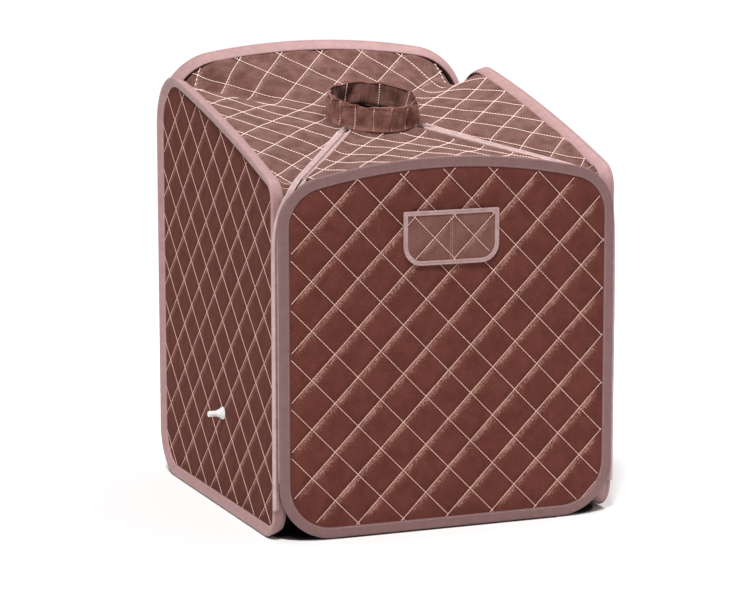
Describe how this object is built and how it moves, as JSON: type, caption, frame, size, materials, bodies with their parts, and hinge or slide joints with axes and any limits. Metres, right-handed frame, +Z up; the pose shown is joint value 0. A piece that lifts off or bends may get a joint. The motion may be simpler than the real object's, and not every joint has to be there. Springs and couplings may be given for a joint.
{
  "type": "portable steam sauna",
  "caption": "Pop-up quilted cloth steam cabin with sprung hoops, neck collar, zip door flap, front pocket and side steam inlet",
  "frame": {"origin": "middle of the cabin's footprint, on the floor", "axes": "+Z up, the door flap faces -Y, the steam inlet is on the -X side"},
  "size_m": [0.836, 0.848, 1.032],
  "materials": {
    "quilted_wall": "quilted velour, satin sheen",
    "edge_binding": "woven binding tape, matte",
    "spring_steel": "sprung strip, satin",
    "quilted_top": "quilted velour, satin sheen",
    "collar_cloth": "gathered quilted velour",
    "floor_cloth": "coated cloth, matte",
    "zip_tape": "woven tape with moulded coil",
    "zip_metal": "bright plated",
    "washer_rubber": "matte",
    "inlet_plastic": "moulded, gloss"
  },
  "bodies": {
    "cabin": {"back_panel": "quilted_wall", "back_binding": "edge_binding", "back_hoop": "spring_steel", "left_panel": "quilted_wall", "left_binding": "edge_binding", "left_hoop": "spring_steel", "right_panel": "quilted_wall", "right_binding": "edge_binding", "right_hoop": "spring_steel", "floor_mat": "floor_cloth", "front_hem": "floor_cloth", "top_sheet": "quilted_top", "collar_rear": "collar_cloth", "zip_right_top_body": "zip_tape", "zip_right_side_body": "zip_tape", "zip_left_top_body": "zip_tape", "zip_left_side_body": "zip_tape", "inlet_spigot": "inlet_plastic", "inlet_washer": "washer_rubber", "inlet_nut": "inlet_plastic"},
    "door_flap": {"front_panel": "quilted_wall", "front_binding": "edge_binding", "front_hoop": "spring_steel", "pocket_panel": "quilted_wall", "pocket_edging": "edge_binding", "zip_right_side_flap": "zip_tape", "zip_left_side_flap": "zip_tape"},
    "top_flap": {"top_gusset": "quilted_top", "collar_front": "collar_cloth", "zip_right_top_flap": "zip_tape", "zip_left_top_flap": "zip_tape"},
    "slider_right": {"slider_right": "zip_metal"},
    "slider_left": {"slider_left": "zip_metal"},
    "pull_right": {"pull_right": "zip_metal"},
    "pull_left": {"pull_left": "zip_metal"}
  },
  "joints": [
    {"name": "door_flap_hinge", "type": "hinge", "parent": "cabin", "child": "door_flap", "pos_m": [0, -0.421, 0.014], "axis": [1, 0, 0], "range_deg": [0, 90]},
    {"name": "top_flap_hinge", "type": "hinge", "parent": "door_flap", "child": "top_flap", "pos_m": [0, -0.408, 0.817], "axis": [1, 0, 0], "range_deg": [0, 70]},
    {"name": "slider_right_slide", "type": "slide", "parent": "cabin", "child": "slider_right", "axis": [0.5764, -0.7987, -0.1727], "range_m": [0, 0.38]},
    {"name": "slider_left_slide", "type": "slide", "parent": "cabin", "child": "slider_left", "axis": [-0.5764, -0.7987, -0.1727], "range_m": [0, 0.38]},
    {"name": "pull_right_hinge", "type": "hinge", "parent": "slider_right", "child": "pull_right", "pos_m": [0.09204, -0.03861, 0.86268], "axis": [-0.8109, -0.5852, 0], "range_deg": [0, 95]},
    {"name": "pull_left_hinge", "type": "hinge", "parent": "slider_left", "child": "pull_left", "pos_m": [-0.09204, -0.03861, 0.86268], "axis": [-0.8109, 0.5852, 0], "range_deg": [0, 95]}
  ]
}
